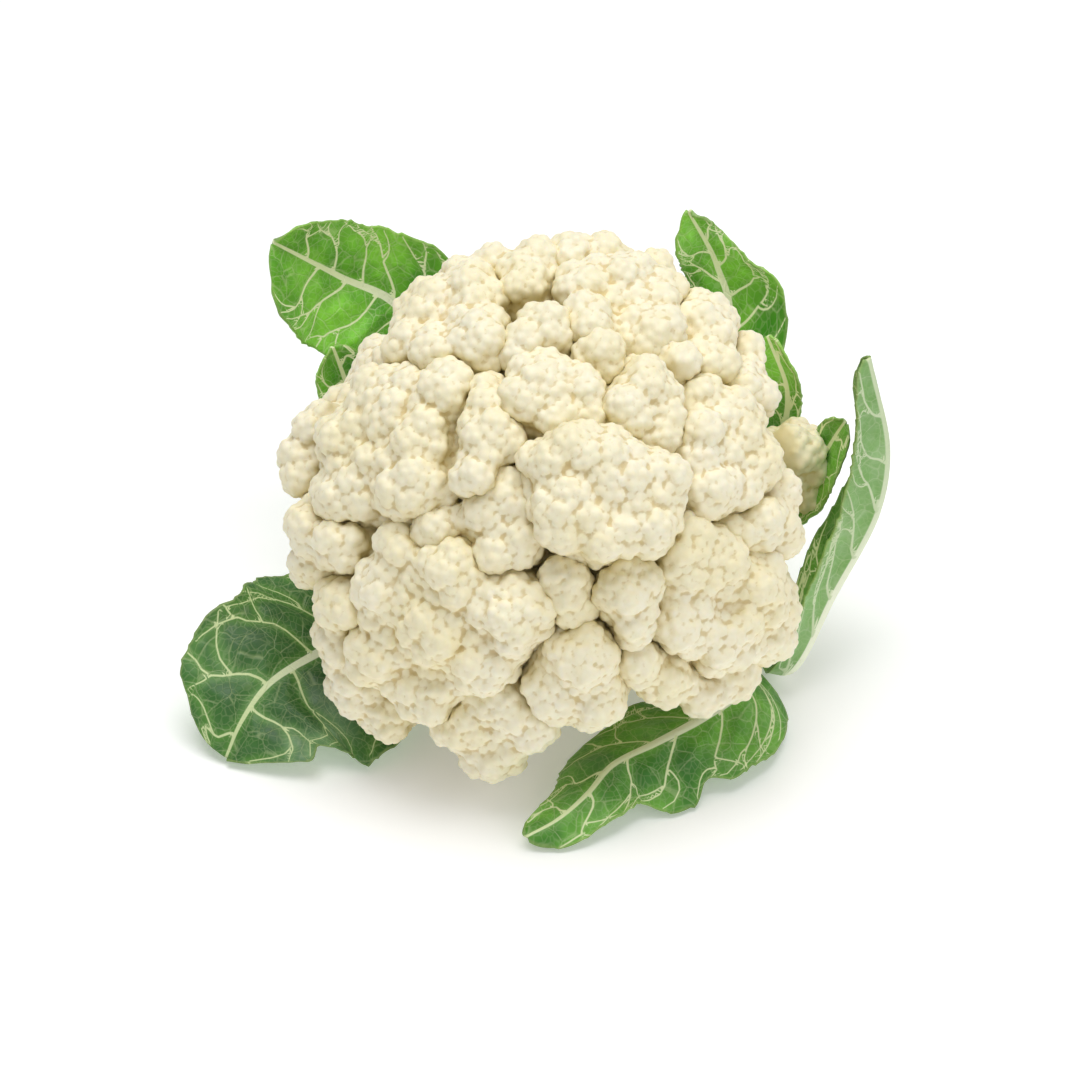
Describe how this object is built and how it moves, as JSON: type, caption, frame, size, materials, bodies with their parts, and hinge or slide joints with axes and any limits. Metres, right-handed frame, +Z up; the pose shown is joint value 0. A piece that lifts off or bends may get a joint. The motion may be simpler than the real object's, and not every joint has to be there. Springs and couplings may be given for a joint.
{
  "type": "cauliflower",
  "caption": "Whole fresh cauliflower lying on its cut stem: a white curd of branching florets, a thick stem and green wrapper leaves.",
  "frame": {"origin": "middle of the stem's flat knife cut, which lies on the table", "axes": "+Z up from the table, +X right and +Y away as seen from the side where the curd shows; the stem leans 35 degrees towards -Y"},
  "size_m": [0.2343, 0.2077, 0.1615],
  "materials": {
    "curd": "matte",
    "stem": "satin",
    "leaf": "satin"
  },
  "bodies": {
    "root": {"stem": "stem", "floret_crown": "curd", "floret_inner_left": "curd", "floret_left_upper": "curd", "floret_left_outer": "curd", "floret_left_lower_outer": "curd", "floret_upper_left": "curd", "floret_top_left": "curd", "floret_apex_top": "curd", "floret_apex_low": "curd", "floret_apex_small": "curd", "floret_apex_right": "curd", "floret_upper_mid": "curd", "floret_top_mid": "curd", "floret_upper_right": "curd", "floret_right_outer": "curd", "floret_right_mid": "curd", "floret_right_low": "curd", "floret_right_far": "curd", "floret_lower_right": "curd", "floret_lower_mid": "curd", "floret_recess_low": "curd", "floret_bottom_mid": "curd", "floret_recess_left": "curd", "floret_lower_left": "curd", "floret_lower_left_outer": "curd", "floret_bottom": "curd", "floret_bottom_right": "curd", "floret_rim_1": "curd", "floret_rim_2": "curd", "floret_rim_3": "curd", "floret_rim_4": "curd", "floret_rim_5": "curd", "floret_rim_6": "curd", "floret_rim_7": "curd", "leaf_right": "leaf", "leaf_front": "leaf", "leaf_right_inner": "leaf", "leaf_right_back": "leaf", "leaf_back_right": "leaf", "leaf_back": "leaf", "leaf_back_left": "leaf", "leaf_small_left": "leaf", "leaf_left": "leaf"}
  },
  "joints": []
}
